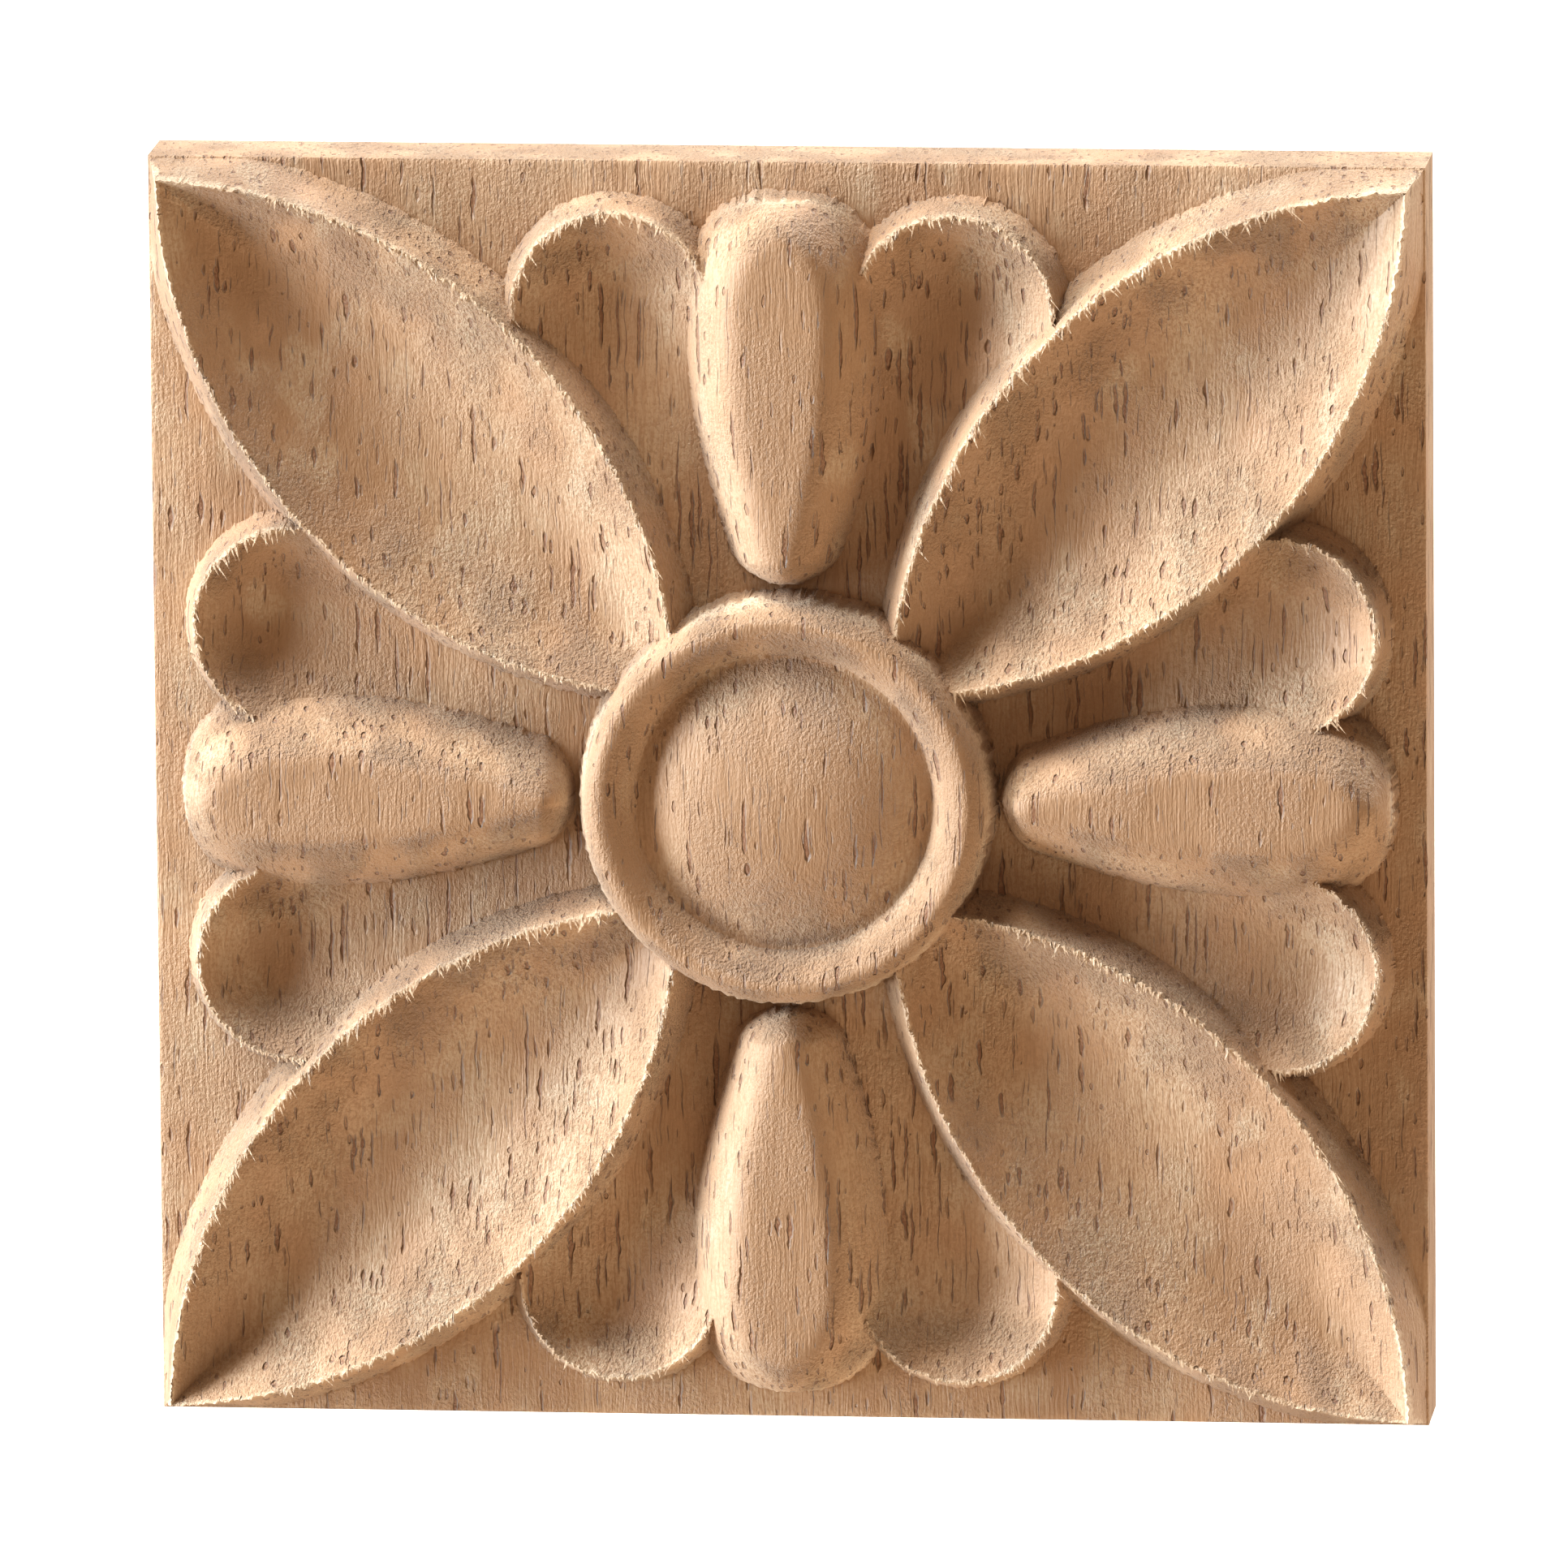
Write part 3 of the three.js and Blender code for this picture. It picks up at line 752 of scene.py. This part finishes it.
def timber_patterns(tree):
    """The patterns that colour and roughen the timber."""
    place = tree.add("ShaderNodeTexCoord").outputs["Object"]
    normal = tree.add("ShaderNodeNewGeometry").outputs["Normal"]
    ridge = tree.add("ShaderNodeAttribute", attribute_name="ridge").outputs["Fac"]
    sway = tree.noise_node(place, SWAY_SIZE, 1.0).outputs["Color"]
    sway = tree.vector("MULTIPLY", sway, (SWAY_REACH[0] * MM, SWAY_REACH[1] * MM, 0.0))
    swayed = tree.vector("ADD", place, sway)
    beads = tree.ramp(tree.noise(place, BEAD_SIZE, 1.0), 0.3, 0.7, 0.5, 1.4)
    long_pores = pores(tree, swayed, beads, **LONG_PORES)
    short_pores = tree.times(pores(tree, swayed, beads, **SHORT_PORES), SHORT_PORE_SHARE)
    grit = tree.noise(place, GRIT_SIZE, 3.0, 0.65)
    outward = tree.times(tree.parts(place)[1], -MM_PER_METRE)
    planed = BOARD_THICKNESS + CLUB_PLANED_HEIGHT
    unplaned = BOARD_THICKNESS + PLANED_FADE * CLUB_PLANED_HEIGHT
    return SimpleNamespace(
        bands=tree.noise(place, BAND_SIZE, 2.0),
        clouds=tree.noise(place, CLOUD_SIZE, 1.0),
        streaks=tree.noise(swayed, STREAK_SIZE, 2.0, 0.6),
        grit=grit,
        zones=tree.ramp(tree.noise(place, ZONE_SIZE, 1.0), 0.35, 0.65, 0.4, 1.5),
        pores=tree.math("MAXIMUM", long_pores, short_pores),
        end_grain=tree.ramp(tree.math("ABSOLUTE", tree.parts(normal)[2]), 0.05, 0.5),
        on_top=tree.ramp(outward, unplaned, planed),
        # Rims and fibres: torn wood is paler, and this also paints a highlight along the rims
        on_rim_torn_and_lit=tree.times(tree.ramp(ridge, 0.03, 0.3), tree.ramp(grit, 0.25, 0.6)),
        # Painted shade: darker where a point lies below the relief just around it, in the feet and creases
        in_foot_painted_shade=tree.ramp(ridge, -0.04, -0.4),
    )


def timber_colour(tree, pattern):
    """Banded and clouded wood with streaks and dark vessels, worn on top, pale where it is torn along the
    rims, partly as a painted highlight, and with painted shade in the feet.
    """
    colour = tree.mix(tree.ramp(pattern.bands, 0.35, 0.7), PALE, DEEP)
    colour = tree.mix(tree.ramp(pattern.clouds, 0.5, 0.72, 0.0, CLOUD_SHARE), colour, RUDDY)
    colour = tree.mix(tree.ramp(pattern.clouds, 0.48, 0.28, 0.0, CLOUD_SHARE), colour, ASHEN)
    colour = tree.mix(pattern.on_top, colour, WORN)
    colour = tree.mix(tree.ramp(pattern.streaks, 0.42, 0.72, 0.0, STREAK_SHARE), colour, DEEP)
    colour = tree.mix(tree.times(pattern.pores, PORE_SHARE), colour, VESSEL)
    speckled = tree.ramp(pattern.end_grain, 0.0, 1.0, LONG_GRAIN_SPECKLE, 1.0)
    colour = tree.mix(tree.times(tree.ramp(pattern.grit, 0.56, 0.36), speckled), colour, DEEP)
    # Painted shade in the feet and creases, towards the DEEP colour
    colour = tree.mix(tree.times(pattern.in_foot_painted_shade, FOOT_SHADE_SHARE), colour, DEEP)
    # Paler torn fibres, partly a painted highlight along the rims and on the fibres
    return tree.mix(tree.times(pattern.on_rim_torn_and_lit, RIM_TORN_AND_LIT_SHARE), colour, TORN_AND_LIT)


def timber_bump(tree, pattern):
    """Raised streaks, sunken vessels, and grit that is coarser on end grain and in some zones."""
    grit_depth = tree.ramp(pattern.end_grain, 0.0, 1.0, LONG_GRAIN_GRIT, END_GRAIN_GRIT)
    grit = tree.times(tree.times(pattern.grit, grit_depth), pattern.zones)
    height = tree.plus(tree.times(pattern.streaks, STREAK_DEPTH), tree.times(pattern.pores, -PORE_DEPTH))
    inputs = {"Height": tree.plus(height, grit), "Distance": MM, "Strength": 1.0}
    return tree.add("ShaderNodeBump", inputs).outputs[0]


def timber_material():
    material = bpy.data.materials.new("pale_hardwood")
    material.use_nodes = True
    tree = NodeTree(material.node_tree)
    pattern = timber_patterns(tree)
    shader = material.node_tree.nodes["Principled BSDF"]
    links = material.node_tree.links
    links.new(timber_colour(tree, pattern), shader.inputs["Base Color"])
    links.new(timber_bump(tree, pattern), shader.inputs["Normal"])
    links.new(tree.ramp(pattern.streaks, 0.2, 0.8, *ROUGHNESS_RANGE), shader.inputs["Roughness"])
    shader.inputs["Specular IOR Level"].default_value = SPECULAR
    shader.inputs["Sheen Weight"].default_value = SHEEN
    shader.inputs["Sheen Roughness"].default_value = SHEEN_ROUGHNESS
    return material


def make_block():
    piece = bpy.data.objects.new("carved_block", block_mesh())
    bpy.context.collection.objects.link(piece)
    piece.data.materials.append(timber_material())
    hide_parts("carved_rosette_block")
    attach(piece, "root")


def make_floor():
    """A plain pale floor, far enough below for the block's shadow to fall outside the view.

    It neither tints the block nor shades it from the light that comes from below.
    """
    mesh = bpy.data.meshes.new("floor")
    turns = [(-1, -1), (1, -1), (1, 1), (-1, 1)]
    corners = [(x * FLOOR_REACH, y * FLOOR_REACH, FLOOR_LEVEL) for x, y in turns]
    mesh.from_pydata(corners, [], [(0, 1, 2, 3)])
    material = bpy.data.materials.new("pale_floor")
    material.use_nodes = True
    shader = material.node_tree.nodes["Principled BSDF"]
    shader.inputs["Base Color"].default_value = FLOOR_COLOUR
    shader.inputs["Roughness"].default_value = 1.0
    mesh.materials.append(material)
    floor = bpy.data.objects.new("floor", mesh)
    floor.visible_diffuse = False
    floor.visible_glossy = False
    floor.visible_shadow = False
    bpy.context.collection.objects.link(floor)


def make_camera():
    """The photograph's view: nearly square on, from a little right and above, with a long lens."""
    azimuth, elevation = math.radians(CAMERA_AZIMUTH), math.radians(CAMERA_ELEVATION)
    back = Vector((
        math.sin(azimuth) * math.cos(elevation),
        -math.cos(azimuth) * math.cos(elevation),
        math.sin(elevation),
    ))
    data = bpy.data.cameras.new("camera")
    camera = bpy.data.objects.new("camera", data)
    bpy.context.collection.objects.link(camera)
    camera.location = Vector((0, -BOARD_THICKNESS * MM, 0)) + back * CAMERA_DISTANCE
    camera.rotation_euler = (-back).to_track_quat("-Z", "Y").to_euler()
    camera.rotation_euler.rotate_axis("Z", math.radians(CAMERA_ROLL))
    view_width = PICTURE_WIDTH / PICTURE_PIXELS_PER_MM * MM
    data.sensor_width = SENSOR_WIDTH
    data.lens = SENSOR_WIDTH * CAMERA_DISTANCE / view_width
    data.shift_x = (PICTURE_WIDTH / 2 - BLOCK_IN_PICTURE[0]) / PICTURE_WIDTH
    data.shift_y = (BLOCK_IN_PICTURE[1] - PICTURE_WIDTH / 2) / PICTURE_WIDTH
    data.clip_end = CAMERA_FAR_END
    bpy.context.scene.camera = camera


def light_from(turn, over_face):
    """A direction towards a light, from its turn above the left and its angle over the block's face."""
    turn, over_face = math.radians(turn), math.radians(over_face)
    return (-math.cos(turn) * math.cos(over_face), -math.sin(over_face), math.sin(turn) * math.cos(over_face))


def add_light(name, kind, direction, power, colour):
    """A light of the kind given that shines from its direction towards the block."""
    data = bpy.data.lights.new(name, kind)
    data.energy = power
    data.color = colour
    light = bpy.data.objects.new(name, data)
    light.rotation_euler = Vector(direction).to_track_quat("Z", "Y").to_euler()
    bpy.context.collection.objects.link(light)
    return light


def add_softbox(name, direction, power, width, height, colour):
    """A softbox that faces the block, with its long side along the light's turn."""
    softbox = add_light(name, "AREA", direction, power, colour)
    softbox.location = Vector(direction).normalized() * SOFTBOX_DISTANCE
    softbox.data.shape = "RECTANGLE"
    softbox.data.size = width
    softbox.data.size_y = height


def add_sun(name, direction, power, softness, colour):
    sun = add_light(name, "SUN", direction, power, colour)
    sun.data.angle = math.radians(softness)


def make_light():
    key = light_from(turn=17, over_face=17.5)
    add_softbox("key", key, power=48.0, width=0.3, height=1.8, colour=(0.89, 0.95, 1.0))
    add_sun("top", (-0.35, -0.11, 0.93), power=4.4, softness=26, colour=(1.0, 0.94, 0.84))
    add_sun("low", (0.4, -0.22, -0.88), power=3.0, softness=60, colour=(1.0, 0.78, 0.55))
    add_sun("back", (0.5, 0.55, 0.67), power=3.5, softness=25, colour=(1.0, 0.97, 0.95))
    world = bpy.data.worlds.new("studio")
    world.use_nodes = True
    background = world.node_tree.nodes["Background"]
    background.inputs["Color"].default_value = SKY_COLOUR
    background.inputs["Strength"].default_value = SKY_STRENGTH
    bpy.context.scene.world = world
    bpy.context.scene.view_settings.view_transform = "Standard"


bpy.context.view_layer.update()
make_block()
make_floor()
make_camera()
make_light()
